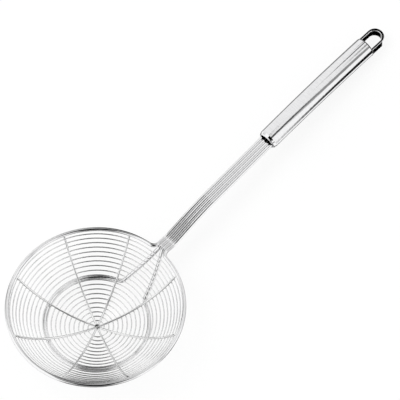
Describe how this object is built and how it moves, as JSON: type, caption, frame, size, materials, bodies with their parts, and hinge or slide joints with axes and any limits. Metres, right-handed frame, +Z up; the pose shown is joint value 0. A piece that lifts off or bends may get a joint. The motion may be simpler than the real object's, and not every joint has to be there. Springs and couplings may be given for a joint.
{
  "type": "spider skimmer",
  "caption": "Long-handled kitchen skimmer: a shallow bowl of spiral wire mesh on radial ribs, a flat stem of parallel wires and a hollow metal handle with a hanging loop.",
  "frame": {"origin": "bottom centre of the whole tool's bounding box, as it rests on a table on the underside of its mesh and the rear edge of its handle", "axes": "+X from the bowl to the hanging loop, +Z up, so the open side of the bowl faces up and leans towards the handle"},
  "size_m": [0.3828, 0.137, 0.0524],
  "materials": {
    "frame_wire": "polished",
    "rib_wire": "polished",
    "mesh_wire": "polished",
    "handle_brushed": "brushed",
    "polished_fittings": "polished",
    "grip_plastic": "matte"
  },
  "bodies": {
    "root": {"rim_hoop": "frame_wire", "support_hoop": "frame_wire", "rib_1": "rib_wire", "rib_2": "rib_wire", "rib_3": "rib_wire", "rib_4": "rib_wire", "mesh_spiral": "mesh_wire", "handle_tube": "handle_brushed", "front_collar": "polished_fittings", "hang_loop": "polished_fittings", "grip_block": "grip_plastic"}
  },
  "joints": []
}
